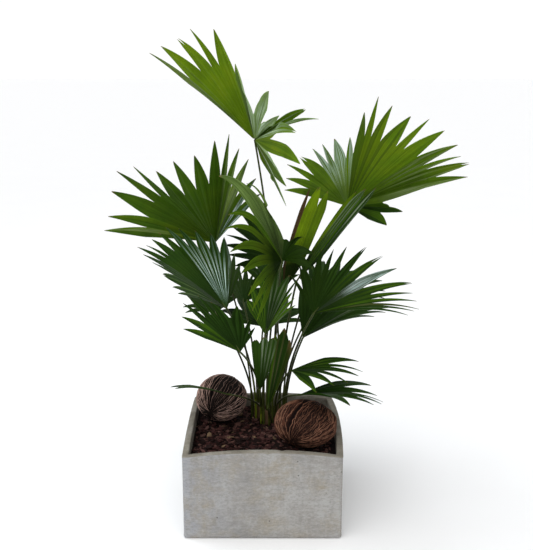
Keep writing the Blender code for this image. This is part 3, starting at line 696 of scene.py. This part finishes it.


# From the named finger on: the paint, and that of the side of each pleat that catches the window, painted
# lit.
LEAF_COLOURS = {
    "top": ((0, "hazy"), (1, "sunlit"), (5, "fresh", "pale"), (6, "pale"), (8, "pale", "bright"),
            (9, "pale", "sunlit"), (11, "sunlit", "bright"), (12, "pale", "fresh")),
    "right_high": ((0, "bright"), (4, "misty"), (7, "bright", "misty"), (8, "fresh"),
                   (9, "fresh", "bright"), (12, "bright"), (14, "bright", "hazy"), (16, "fresh", "hazy"),
                   (18, "green", "dark")),
    "left_high": ((0, "green", "hazy"), (1, "green", "fresh"), (2, "green"), (9, "green", "glossy"),
                  (11, "hazy", "glossy"), (12, "green", "frosted")),
    "centre_left": ((0, "shaded"), (6, "shaded", "green"), (7, "glossy"), (9, "deep")),
    "spear": ((0, "brown"), (1, "lantern"), (2, "inner")),
    "band": ((0, "inner"), (1, "veiled", "green"), (2, "dark", "veiled")),
    "left_middle": ((0, "dark", "green"), (4, "dark"), (9, "dark", "frosted"), (14, "dark")),
    "left_low": ((0, "dark", "green"), (2, "dark", "deep"), (5, "deep", "dark")),
    "centre_low": ((0, "green", "dark"), (3, "dark", "lined"), (6, "green", "lined")),
    "right_middle": ((0, "deep"), (4, "deep", "dark"), (6, "tipped", "dark"), (7, "glazed"),
                     (8, "tipped", "dark"), (10, "green", "dark"), (11, "tawny"), (12, "dark", "lined")),
    "right_under": ((0, "deep"), (4, "dark", "lined")),
    "young_centre": ((0, "dark"), (1, "dark", "veiled"), (2, "dark", "lined")),
    "young_right": ((0, "dark", "green"), (1, "tawny", "dark"), (2, "scorched")),
    "low_right": ((0, "dark", "green"),),
    "shade_left": ((0, "deep"),),
    "shade_low": ((0, "deep"),),
    "rear_left": ((0, "dark", "deep"),),
    "rear_right": ((0, "dark", "deep"),),
}
PLAIN_COLOURS = ((0, "dark"),)
LIGHT_LEAVES = ("top", "right_high", "left_high", "spear")


def strip_paint(rows, strip, finger):
    """The paint of one strip: a pleat's second half may take a painted-lit paint."""
    _, paint, *lit = [row for row in rows if row[0] <= finger][-1]
    return lit[0] if lit and strip % 2 == 1 else paint


def blade_mesh(leaf, rows, used):
    """A leaf's points, UVs and faces, strip by strip, and each face's place among the used paints."""
    habits = finger_habits(leaf)
    shares = ring_shares(leaf)
    points, uv, faces, slots = [], [], [], []
    previous = np.empty((1, 0), dtype=int)
    for strip in range(2 * sum(leaf.fingers)):
        finger = finger_of(leaf, strip)
        block = strip_points(leaf, strip, finger, shares, habits[finger])
        joined = joined_ring(leaf, strip, finger, habits[finger])
        own = np.ones(block.shape[:2], dtype=bool)
        own[0, :joined + 1] = False
        index = np.empty(own.shape, dtype=int)
        index[own] = len(points) + np.arange(own.sum())
        index[~own] = previous[-1, :joined + 1]
        points += list(block[own])
        uv += list(np.stack(np.meshgrid(strip_pleats(strip), shares, indexing="ij"), axis=-1)[own])
        quads = grid_faces(index)
        faces += quads
        slots += [used.index(strip_paint(rows, strip, finger))] * len(quads)
        previous = index
    return points, uv, faces, slots


def blade(leaf, materials):
    """The leaf's pleated fan, cut between the fingers and at their tips, in its paints, which carry painted
    light and shade.
    """
    rows = LEAF_COLOURS.get(leaf.name, PLAIN_COLOURS)
    used = sorted({paint for row in rows for paint in row[1:]})
    skins = [materials[name][side] for side in (0, 1) for name in used]
    points, uv, faces, slots = blade_mesh(leaf, rows, used)
    obj = make_object("leaf_" + leaf.name, points, faces, skins, slots, uv)
    thick = obj.modifiers.new("thickness", "SOLIDIFY")
    thick.thickness = LEAF_THICKNESS
    thick.offset = 0
    thick.material_offset = len(used)
    dress(obj, "leaf_light" if leaf.name in LIGHT_LEAVES else "leaf_dark", "blade_" + leaf.name)


STALK_FOOT_RADIUS = 0.0034
STALK_BASE_RADIUS = 0.0023
STALK_TIP_RADIUS = 0.0019
STALK_FOOT_RISE = 0.01
STALK_SUNK = 0.004
STALK_BEND = 0.45
STALK_SIDES = 16
STALK_RINGS = 44
STALK_SHADES_FROM = (0.12, 0.3, 0.62)
CHANNEL_DEPTH = 0.42
CHANNEL_WIDTH = 0.55
COSTA_LENGTH = 0.03
COSTA_RINGS = 8
COSTA_UNDER = 0.0006
COSTA_THINNING = 0.88
COSTA_CURVE = 0.8
BRIGHT_FEET = ("left_low", "left_middle", "young_centre")


def stalk_feet():
    """Each stalk's foot: one stands on its stem's top, the others in a ring, in order of their hubs."""
    feet = {}
    ring = STEM_RADIUS + STALK_FOOT_RADIUS + GAP
    for seedling in SEEDLINGS:
        centre = Vector((*seedling.foot, 0))
        leaves = [leaf for leaf in LEAVES if leaf.stem == seedling.name]
        lean = {leaf: (Vector(leaf.hub) - centre).xy.length / leaf.hub[2] for leaf in leaves}
        inner = min(leaves, key=lean.get)
        feet[inner.name] = centre + UP * (SOIL_LEVEL + STEM_HEIGHT + 2 * GAP)
        outer = [leaf for leaf in leaves if leaf is not inner]
        bearing = {leaf: atan2(leaf.hub[1] - centre.y, leaf.hub[0] - centre.x) % tau for leaf in outer}
        outer.sort(key=bearing.get)
        spacing = tau / len(outer)
        start = sum(bearing[leaf] - i * spacing for i, leaf in enumerate(outer)) / len(outer)
        for i, leaf in enumerate(outer):
            angle = start + i * spacing
            feet[leaf.name] = centre + Vector((ring * cos(angle), ring * sin(angle), SOIL_LEVEL + GAP))
    return feet


def stalk_path(foot, hub, share):
    """A point on the arc that leaves the foot upright and leans over towards the hub."""
    start = foot + UP * STALK_FOOT_RISE
    bend = Vector((start.x, start.y, start.z + STALK_BEND * (hub.z - start.z)))
    return start.lerp(bend, share).lerp(bend.lerp(hub, share), share)


def stalk_line(leaf, foot):
    """The stalk's middle line and radii: from the soil to the hub, and on as a rib under the blade."""
    line = [foot - UP * STALK_SUNK]
    line += [stalk_path(foot, Vector(leaf.hub), i / STALK_RINGS) for i in range(STALK_RINGS + 1)]
    last = len(line) - 1
    middle = sum(leaf.fingers) / 2
    reach = rib_at(leaf, middle)[1]
    under = face_normal(leaf, middle) * -COSTA_UNDER
    for i in range(1, COSTA_RINGS + 1):
        share = COSTA_LENGTH / reach * i / COSTA_RINGS
        line.append(Vector(along_rib(leaf, middle, share) + under))
    radii = []
    for i in range(len(line)):
        radius = STALK_BASE_RADIUS + min(1, i / last) * (STALK_TIP_RADIUS - STALK_BASE_RADIUS)
        beyond = max(0, i - last) / COSTA_RINGS
        radii.append(radius * (1 - COSTA_THINNING * beyond ** COSTA_CURVE))
    return line, radii


def stalk(leaf, foot, materials):
    """A stalk channelled along its inner side, in four shades from its foot up."""
    line, radii = stalk_line(leaf, foot)
    rings = len(line) - 1
    inward = Vector((foot.x - leaf.hub[0], foot.y - leaf.hub[1], 0.02))
    points, uv = [], []
    for i, centre in enumerate(line):
        way = (line[min(i + 1, rings)] - line[max(i - 1, 0)]).normalized()
        up = (inward - way * inward.dot(way)).normalized()
        side = way.cross(up)
        for k in range(STALK_SIDES):
            angle = tau * k / STALK_SIDES
            channel = 1 - CHANNEL_DEPTH * exp(-((angle - pi / 2) / CHANNEL_WIDTH) ** 2)
            out = radii[i] * channel
            points.append(centre + out * (cos(angle) * side + sin(angle) * up))
            uv.append((k / STALK_SIDES, i / len(line)))
    shades = [sum(i / rings >= start for start in STALK_SHADES_FROM) for i in range(rings)]
    slots = [shade for shade in shades for _ in range(STALK_SIDES)] + [0, 3]
    obj = make_object("petiole_" + leaf.name, points, ring_faces(rings, STALK_SIDES), materials, slots, uv)
    dress(obj, "stalk_green", "stalk_" + leaf.name)


STEM_SIDES = 40
STEM_RINGS = 16
STEM_SUNK = 0.003
STEM_TAPER = 0.35
STEM_RIDGES = (0.86, 1.1)
STEM_RAGS = 0.05


def stem(seedling, material):
    """The sheathed foot of a seedling: a tapering column with ragged fibrous ridges."""
    chance = hashed(seedling.name)
    ridge = [chance.uniform(*STEM_RIDGES) for _ in range(STEM_SIDES)]
    points, uv = [], []
    for i in range(STEM_RINGS + 1):
        up = i / STEM_RINGS
        radius = STEM_RADIUS * (1 - STEM_TAPER * up ** 2)
        for k in range(STEM_SIDES):
            angle = tau * k / STEM_SIDES
            out = radius * ridge[k]
            lift = STEM_HEIGHT * up * (1 + STEM_RAGS * ridge[k] * up)
            points.append((seedling.foot[0] + out * cos(angle), seedling.foot[1] + out * sin(angle),
                           SOIL_LEVEL - STEM_SUNK + lift))
            uv.append((k / STEM_SIDES, up))
    faces = ring_faces(STEM_RINGS, STEM_SIDES)
    obj = make_object("sheath_" + seedling.name, points, faces, [material], uv=uv)
    dress(obj, "stem_sheath", seedling.name)


PLANTER_SIDE = 0.3
PLANTER_CORNER_HEIGHT = 0.169
RIM_ARCH = 0.01
RIGHT_WALL_BOW = 0.006
WALL = 0.012
INNER_HALF = PLANTER_SIDE / 2 - WALL
CORNER_RADIUS = 0.005
CORNER_STEPS = 5
WALL_STEPS = 64
WALL_ROWS = 34
RIM_ROUND = 0.0022
RIM_STEPS = 4
FOOT_ROUND = 0.005
FOOT_STEPS = 3
BOTTOM_INSET = 0.06
INNER_DEPTHS = (0.006, 0.012, 0.018, 0.026, 0.036)
CHIPPED_FROM = 0.42
CHIPPED_DEPTH = 0.006
RIM_WEAR = 0.0004
WALL_SWELL = 0.0006
WALL_GRAIN = 0.00035


def square_outline(half, radius):
    """Points round a square with rounded corners, anticlockwise from above; its +X side bows out."""
    outline = []
    straight = half - radius
    for quarter in range(4):
        turn = Matrix.Rotation(quarter * pi / 2, 2)
        for i in range(WALL_STEPS):
            outline.append(turn @ Vector((half, -straight + 2 * straight * i / WALL_STEPS)))
        for i in range(CORNER_STEPS):
            angle = pi / 2 * i / CORNER_STEPS
            outline.append(turn @ Vector((straight + radius * cos(angle), straight + radius * sin(angle))))
    bowed = []
    for point in outline:
        rightness = max(0, (point.x - half * 0.5) / (half * 0.5))
        bulge = RIGHT_WALL_BOW * (1 - min(1, (point.y / half) ** 2)) * min(1, rightness)
        bowed.append(Vector((point.x + bulge, point.y)))
    return bowed


def rim_height(point, half):
    along = point.y if abs(point.x) > abs(point.y) else point.x
    return PLANTER_CORNER_HEIGHT + RIM_ARCH * (1 - min(1, (along / half) ** 2))


def wall_profile():
    """The wall's section from the bottom out, over the rim and in, as (inset, part, height).

    The height counts from the foot or the rim, or is a share of the wall between them.
    """
    profile = [(BOTTOM_INSET, "foot", 0), (FOOT_ROUND, "foot", 0)]
    for i in range(1, FOOT_STEPS + 1):
        angle = pi / 2 * i / FOOT_STEPS
        profile.append((FOOT_ROUND * (1 - sin(angle)), "foot", FOOT_ROUND * (1 - cos(angle))))
    profile += [(0, "wall", i / WALL_ROWS) for i in range(1, WALL_ROWS)]
    angles = [pi / 2 * i / RIM_STEPS for i in range(RIM_STEPS + 1)]
    edge = [(RIM_ROUND * (1 - cos(angle)), RIM_ROUND * (sin(angle) - 1)) for angle in angles]
    profile += [(inset, "rim", drop) for inset, drop in edge] + [(WALL / 2, "rim", 0)]
    profile += [(WALL - inset, "rim", drop) for inset, drop in edge[::-1]]
    return profile + [(WALL, "rim", -depth) for depth in INNER_DEPTHS]


def wall_wear(place, part):
    """Small hollows of the hand-made wall, all of them inwards, and chips along its rim."""
    if part == "foot":
        return Vector()
    fine = noise.noise(place * 90) * 0.5 + 0.5
    if part == "rim":
        chip = max(0, noise.noise(place * 65 + Vector((7, 3, 1))) - CHIPPED_FROM)
        return UP * (-CHIPPED_DEPTH * chip - RIM_WEAR * fine)
    swell = noise.noise(place * 18) * 0.5 + 0.5
    return Vector((-place.x, -place.y, 0)).normalized() * (WALL_SWELL * swell + WALL_GRAIN * fine)


def planter(materials):
    """The tub, as one skin: its foot, hand-smoothed walls, worn rounded rim and inner walls."""
    half = PLANTER_SIDE / 2
    outline = square_outline(half, CORNER_RADIUS)
    sides = len(outline)
    profile = wall_profile()
    points = []
    for inset, part, height in profile:
        inner = square_outline(half - inset, max(0.0015, CORNER_RADIUS - inset * 0.3))
        for outer_point, point in zip(outline, inner):
            top = rim_height(outer_point, half)
            level = {"foot": height, "rim": top + height,
                     "wall": FOOT_ROUND + (top - RIM_ROUND - FOOT_ROUND) * height}[part]
            place = Vector((point.x, point.y, level))
            points.append(place + wall_wear(place, part))
    faces = ring_faces(len(profile) - 1, sides)[:-1]
    # the rim and the inner walls take the rim paint, whose darker tone on the inner walls is painted shade
    slots = [int(part == "rim") for _, part, _ in profile[:-1] for _ in range(sides)] + [0]
    obj = make_object("planter_tub", points, faces, materials, slots)
    dress(obj, "planter_cement", "planter")


SOIL_CUTS = 90
SOIL_DIP = 0.0025
SOIL_SWELL = 0.0035
SOIL_GRAIN = 0.0015
SOIL_OVERLAP = 0.0005


def soil_height(x, y):
    """The mulch's uneven surface, a little under the level that the model's solid fills to."""
    place = Vector((x, y, 0))
    swell = SOIL_SWELL * noise.noise(place * 26)
    return SOIL_LEVEL - SOIL_DIP + swell + SOIL_GRAIN * noise.noise(place * 80)


def soil(material):
    """The mulch's bed, a grid from wall to wall."""
    half = INNER_HALF + SOIL_OVERLAP
    row = SOIL_CUTS + 1
    points = []
    for j in range(row):
        for i in range(row):
            x, y = (2 * i / SOIL_CUTS - 1) * half, (2 * j / SOIL_CUTS - 1) * half
            if i == SOIL_CUTS:
                x += RIGHT_WALL_BOW * (1 - (y / half) ** 2)
            points.append((x, y, soil_height(x, y)))
    faces = grid_faces(np.arange(row * row).reshape(row, row))
    dress(make_object("mulch_bed", points, faces, [material]), "bark_mulch", "soil")


CHIP_COUNT = 1900
CHIP_REACH = 0.006
CHIP_OFF_SHELL = 0.022
CHIP_OFF_STEM = 0.01
CHIP_LENGTH = (0.006, 0.02)
CHIP_WIDTH = (0.35, 0.75)
CHIP_THICKNESS = (0.0012, 0.0034)
CHIP_LIFT = (-0.001, 0.0035)
CHIP_SHADES = (0,) * 12 + (1,) * 11 + (2,) * 6 + (3,)
CHIP_FACES = [(0, 1, 2, 3, 4, 5), (11, 10, 9, 8, 7, 6)]
CHIP_FACES += [(k + 6, (k + 1) % 6 + 6, (k + 1) % 6, k) for k in range(6)]


def chip_clear(x, y):
    """Whether a chip here stays off the walls, the fruit shells and the stems."""
    if max(abs(x), abs(y)) > INNER_HALF - CHIP_REACH:
        return False
    kept_off = [(shell.centre, CHIP_OFF_SHELL) for shell in SHELLS]
    kept_off += [(seedling.foot, CHIP_OFF_STEM) for seedling in SEEDLINGS]
    return all((Vector((x, y)) - Vector(place)).length > away for place, away in kept_off)


def chip_points(chance, x, y):
    """A flat splinter of bark: a bent, irregular plate of six corners a side."""
    length = chance.uniform(*CHIP_LENGTH)
    width = length * chance.uniform(*CHIP_WIDTH)
    thick = chance.uniform(*CHIP_THICKNESS)
    turn = Matrix.Rotation(chance.uniform(0, tau), 3, "Z")
    turn = turn @ Matrix.Rotation(radians(chance.gauss(0, 20)), 3, "X")
    turn = turn @ Matrix.Rotation(radians(chance.gauss(0, 16)), 3, "Y")
    centre = Vector((x, y, soil_height(x, y) + chance.uniform(*CHIP_LIFT)))
    ring = []
    for k in range(6):
        angle = tau * k / 6 + chance.uniform(-0.3, 0.3)
        out = chance.uniform(0.75, 1.1)
        ring.append(Vector((length / 2 * out * cos(angle), width / 2 * out * sin(angle), 0)))
    top = [centre + turn @ (p + UP * (thick / 2 * chance.uniform(0.5, 1.2))) for p in ring]
    low = [centre + turn @ (p * 0.92 - UP * (thick / 2)) for p in ring]
    return top + low


def chips(materials):
    chance = hashed("bark chips")
    points, faces, slots = [], [], []
    for _ in range(CHIP_COUNT):
        x, y = chance.uniform(-INNER_HALF, INNER_HALF), chance.uniform(-INNER_HALF, INNER_HALF)
        if not chip_clear(x, y):
            continue
        faces += [tuple(len(points) + k for k in face) for face in CHIP_FACES]
        points += chip_points(chance, x, y)
        slots += [chance.choice(CHIP_SHADES)] * len(CHIP_FACES)
    dress(make_object("bark_chips", points, faces, materials, slots, smooth=False), "bark_mulch")


SHELL_SEGMENTS = 128
SHELL_RINGS = 84
SHELL_GROOVE = 0.06
GROOVE_BEARING = radians(60)
GROOVE_SHARPNESS = 8
SHELL_POINT = 0.1
POINT_SHARPNESS = 6
HUSK_SHRINK = 0.965
FURROW_BEARING = radians(90)
FURROW_DEPTH = 0.0045
FURROW_SHADE = 0.45
HUSK_GRAIN = 0.0006
HUSK_SWELL = 0.001
FIBRE_STEPS = 40
FIBRE_WIDTH = (0.0003, 0.0006)
FIBRE_END = 3
COARSE_HEIGHT = (0.0008, 0.0014)
FINE_HEIGHT = (0, 0.0005)
FIBRE_FEET = 0.0024
FIBRE_SUNK = 0.0017
FIBRE_TURN_RADIUS = 0.052

# pole is where a husk's fibres meet, seen from its centre. The bare furrow's width is in degrees about it.
Shell = namedtuple("Shell", "name centre half_sizes turn pole furrow coarse fine stray skins fibres")
SHELLS = (
    Shell("dried_fruit_left", (-0.086, 0.062), (0.056, 0.053, 0.049), 60,
          Vector((-0.385, -0.87, -0.304)), 3.4, 68, 20, 1.2,
          ("husk_dark", "husk_furrow"), ("fibre_tan", "fibre_umber", "fibre_dark")),
    Shell("dried_fruit_right", (0.082, -0.066), (0.061, 0.051, 0.047), -12,
          Vector((-0.5, -0.7, -0.51)), 5.5, 120, 160, 1.8,
          ("husk_red", "husk_furrow_red"), ("fibre_orange", "fibre_rust", "fibre_red")),
)


def shell_skin(shell, around, along):
    """A point of a fruit shell's skin: around its long axis, and along it from -1 to 1."""
    out = (1 - along ** 2) ** 0.5
    turned = Vector((along, -cos(around) * out, sin(around) * out))
    groove = max(0, cos(around - GROOVE_BEARING)) ** GROOVE_SHARPNESS
    turned *= 1 - SHELL_GROOVE * (1 - abs(turned.x)) * groove
    turned.x *= 1 + SHELL_POINT * max(0, turned.x) ** POINT_SHARPNESS
    turned.x = min(turned.x, 1)
    sized = Vector(turned[k] * shell.half_sizes[k] for k in range(3))
    return Matrix.Rotation(radians(shell.turn), 3, "Z") @ sized


def shell_points(shell):
    """The shell's skin about its centre, ring after ring along its axis."""
    points = []
    for ring in range(SHELL_RINGS + 1):
        along = -cos(pi * (ring + 0.02) / (SHELL_RINGS + 0.04))
        points += [shell_skin(shell, tau * k / SHELL_SEGMENTS, along) for k in range(SHELL_SEGMENTS)]
    return points


def shell_centre(shell):
    """The shell's centre, where its lowest point lies just over the soil."""
    lowest = min(point.z for point in shell_points(shell))
    return Vector((*shell.centre, SOIL_LEVEL + GAP - lowest))


def husk_axes(shell):
    """The husk's pole, and two directions square to it, in the shell's own frame."""
    pole = (Matrix.Rotation(-radians(shell.turn), 3, "Z") @ shell.pole).normalized()
    upright = (UP - pole * pole.z).normalized()
    return pole, upright.cross(pole), upright


def from_furrow(angle):
    """How far this angle about the pole is from the bare furrow."""
    return abs((angle - FURROW_BEARING + pi) % tau - pi)


def furrow_share(shell, skin):
    """How deep the husk's furrow is under this point of the skin, from 0 to 1."""
    _, level, upright = husk_axes(shell)
    turned = Matrix.Rotation(-radians(shell.turn), 3, "Z") @ skin
    scaled = Vector(turned[k] / shell.half_sizes[k] for k in range(3)).normalized()
    away = from_furrow(atan2(scaled.dot(upright), scaled.dot(level)))
    return exp(-(away / radians(shell.furrow)) ** 2)


def fruit_shell(shell, materials):
    """The husk under the fibres, with a rough skin and a furrow painted darker, as painted shade in it."""
    centre = shell_centre(shell)
    placed, sunk = [], []
    for p in shell_points(shell):
        depth = furrow_share(shell, p)
        rough = HUSK_GRAIN * noise.noise(p * 240) + HUSK_SWELL * noise.noise(p * 90)
        relief = rough - FURROW_DEPTH * depth
        placed.append(centre + p * HUSK_SHRINK + p.normalized() * relief)
        sunk.append(depth > FURROW_SHADE)
    faces = ring_faces(SHELL_RINGS, SHELL_SEGMENTS, turned=True)
    # faces deep in the furrow take the darker paint: painted shade in the furrow
    slots = [int(sunk[face[0]]) for face in faces]
    dress(make_object("husk_" + shell.name, placed, faces, materials, slots), "fruit_fibre", shell.name)


def fibre_way(axes, angle, polar, seed, amount):
    """The direction of a fibre's point: along its meridian from the pole, strayed a little sideways."""
    pole, level, upright = axes
    stray = 0.07 * noise.noise(Vector((angle * 2.5, polar * 2, seed)))
    stray += 0.035 * noise.noise(Vector((angle * 9, polar * 7, seed)))
    turned = angle + stray * amount
    return pole * cos(polar) + (level * cos(turned) + upright * sin(turned)) * sin(polar)


def husk_point(shell, way, lift):
    """The point of the shell's skin in this direction, seen in the shell's own frame, and lifted."""
    along = max(-0.9995, min(0.9995, way.x))
    skin = shell_skin(shell, atan2(way.z, -way.y), along)
    return skin + skin.normalized() * lift


def fibre_strand(shell, angle, reach, width, height, seed):
    """One fibre as a ridge of three points across: both feet in the husk, and its crest."""
    axes = husk_axes(shell)
    start, end = reach
    points = []
    for i in range(FIBRE_STEPS + 1):
        share = i / FIBRE_STEPS
        polar = start + (end - start) * share
        taper = min(1, 6 * share, 6 * (1 - share))
        half = width * (0.45 + 0.55 * sin(polar)) * (0.3 + 0.7 * taper)
        spread = half / (FIBRE_TURN_RADIUS * max(0.08, sin(polar)))
        wave = 1 + 0.35 * noise.noise(Vector((angle * 5, polar * 9, seed + 5)))
        crest = height * wave * taper - FIBRE_SUNK
        for offset, lift in ((-spread, -FIBRE_FEET), (0, crest), (spread, -FIBRE_FEET)):
            way = fibre_way(axes, angle, polar, seed, shell.stray)
            way = Matrix.Rotation(offset, 3, axes[0]) @ way
            points.append(husk_point(shell, way, lift))
    return points


def fibres(shell, materials):
    """Coarse pale fibres over finer dark ones, from one end of the husk to the other, with a bare furrow."""
    chance = hashed(shell.name, "fibres")
    centre = shell_centre(shell)
    points, faces, slots = [], [], []
    for i in range(shell.coarse + shell.fine):
        coarse = i < shell.coarse
        count = shell.coarse if coarse else shell.fine
        angle = tau * (i % count + chance.uniform(-0.35, 0.35)) / count
        if from_furrow(angle) < radians(shell.furrow):
            continue
        start = chance.choice((0.05, 0.35)) + chance.uniform(0, 0.3) if coarse else chance.uniform(0.1, 1.6)
        end = chance.uniform(2.5, FIBRE_END) if coarse else start + chance.uniform(0.5, 1.3)
        width = chance.uniform(*FIBRE_WIDTH)
        height = chance.uniform(*(COARSE_HEIGHT if coarse else FINE_HEIGHT))
        reach = (start, min(end, FIBRE_END))
        strand = fibre_strand(shell, angle, reach, width, height, chance.uniform(0, 3))
        shade = chance.choice((0, 0, 1)) if coarse else chance.choice((1, 2, 2))
        quads = grid_faces(len(points) + np.arange(len(strand)).reshape(-1, 3))
        points += [centre + p for p in strand]
        faces += quads
        slots += [shade] * len(quads)
    dress(make_object("fibres_" + shell.name, points, faces, materials, slots), "fruit_fibre")


CAMERA_PLACE = (0.0075, -1.576, 0.861)
CAMERA_LENS = 54.7
CAMERA_SENSOR = 36
CAMERA_PITCH = 13.6
FLOOR_REACH = 120.0
SKY_STOPS = ((0.5, (1030, 1030, 1030)), (0.62, (1030, 1030, 1030)), (0.72, (420, 430, 450)),
             (0.9, (520, 530, 550)), (1, (800, 820, 850)))
KEY_STRENGTH = 1.75
KEY_SPREAD = 75
KEY_FROM = (-0.25, -0.5, 1)
WINDOW_STRENGTH = 14
WINDOW_SIZE = 0.9
WINDOW_PLACE = (-1.4, 0.5, 2)
WINDOW_TARGET = (0, 0, 0.5)


def make_camera():
    camera = bpy.data.cameras.new("camera")
    camera.lens = CAMERA_LENS
    camera.sensor_width = CAMERA_SENSOR
    obj = put("camera", camera, CAMERA_PLACE, (radians(90 - CAMERA_PITCH), 0, 0))
    bpy.context.scene.camera = obj


def make_floor():
    material, nodes, shader = new_material("pale_floor", 0.9, 0.1)
    shade = nodes.ramp(nodes.noise(nodes.place(), 3), (0, (900, 900, 900)), (1, (920, 920, 920)))
    nodes.feed(shader, {"Base Color": shade})
    corners = [(x * FLOOR_REACH, y * FLOOR_REACH, 0.0) for x, y in ((-1, -1), (1, -1), (1, 1), (-1, 1))]
    floor = make_object("floor", corners, [(0, 1, 2, 3)], [material], smooth=False)


def make_sky():
    """A white room, darker overhead behind the lights."""
    world = bpy.data.worlds.new("soft_room")
    world.use_nodes = True
    nodes = Nodes(world.node_tree)
    around = nodes.add("ShaderNodeTexCoord", {}).outputs["Generated"]
    rise = nodes.spread(nodes.parts(around)[2], 0, 1, -1, 1)
    nodes.feed(nodes.tree.nodes["Background"], {"Color": nodes.ramp(rise, *SKY_STOPS)})
    bpy.context.scene.world = world


def make_light():
    """A soft sun from the front left, and a cool window over the left shoulder of the plant."""
    sun = bpy.data.lights.new("soft_key", "SUN")
    sun.energy = KEY_STRENGTH
    sun.angle = radians(KEY_SPREAD)
    sun.color = (1, 0.99, 0.97)
    put("soft_key", sun, rotation=Vector(KEY_FROM).to_track_quat("Z", "Y").to_euler())
    window = bpy.data.lights.new("window", "AREA")
    window.size = WINDOW_SIZE
    window.energy = WINDOW_STRENGTH
    window.color = (0.88, 0.95, 1)
    facing = (Vector(WINDOW_TARGET) - Vector(WINDOW_PLACE)).to_track_quat("-Z", "Y").to_euler()
    put("window", window, WINDOW_PLACE, facing)


def main():
    bpy.context.scene.view_settings.view_transform = "Standard"
    leaf_paint = leaf_materials()
    stalk_paint = {name: stalk_material(name, *row) for name, row in STALK_PAINTS.items()}
    bark = {name: bark_material(name, *row) for name, row in BARK_PAINTS.items()}
    feet = stalk_feet()
    for leaf in LEAVES:
        ending = "_bright" if leaf.name in BRIGHT_FEET else ""
        names = ("stalk_foot" + ending, "stalk_low" + ending, "stalk_middle", "stalk_high")
        blade(leaf, leaf_paint)
        stalk(leaf, feet[leaf.name], [stalk_paint[name] for name in names])
    for seedling in SEEDLINGS:
        stem(seedling, stalk_paint["sheath_fibre"])
    planter([cement_material(), rim_wear_and_shade_material()])
    soil(bark["mulch_base"])
    chips([bark[name] for name in ("bark_maroon", "bark_dark", "bark_brown", "bark_tan")])
    for shell in SHELLS:
        fruit_shell(shell, [bark[name] for name in shell.skins])
    for shell in SHELLS:
        fibres(shell, [bark[name] for name in shell.fibres])
    make_floor()
    make_sky()
    make_light()
    make_camera()


main()
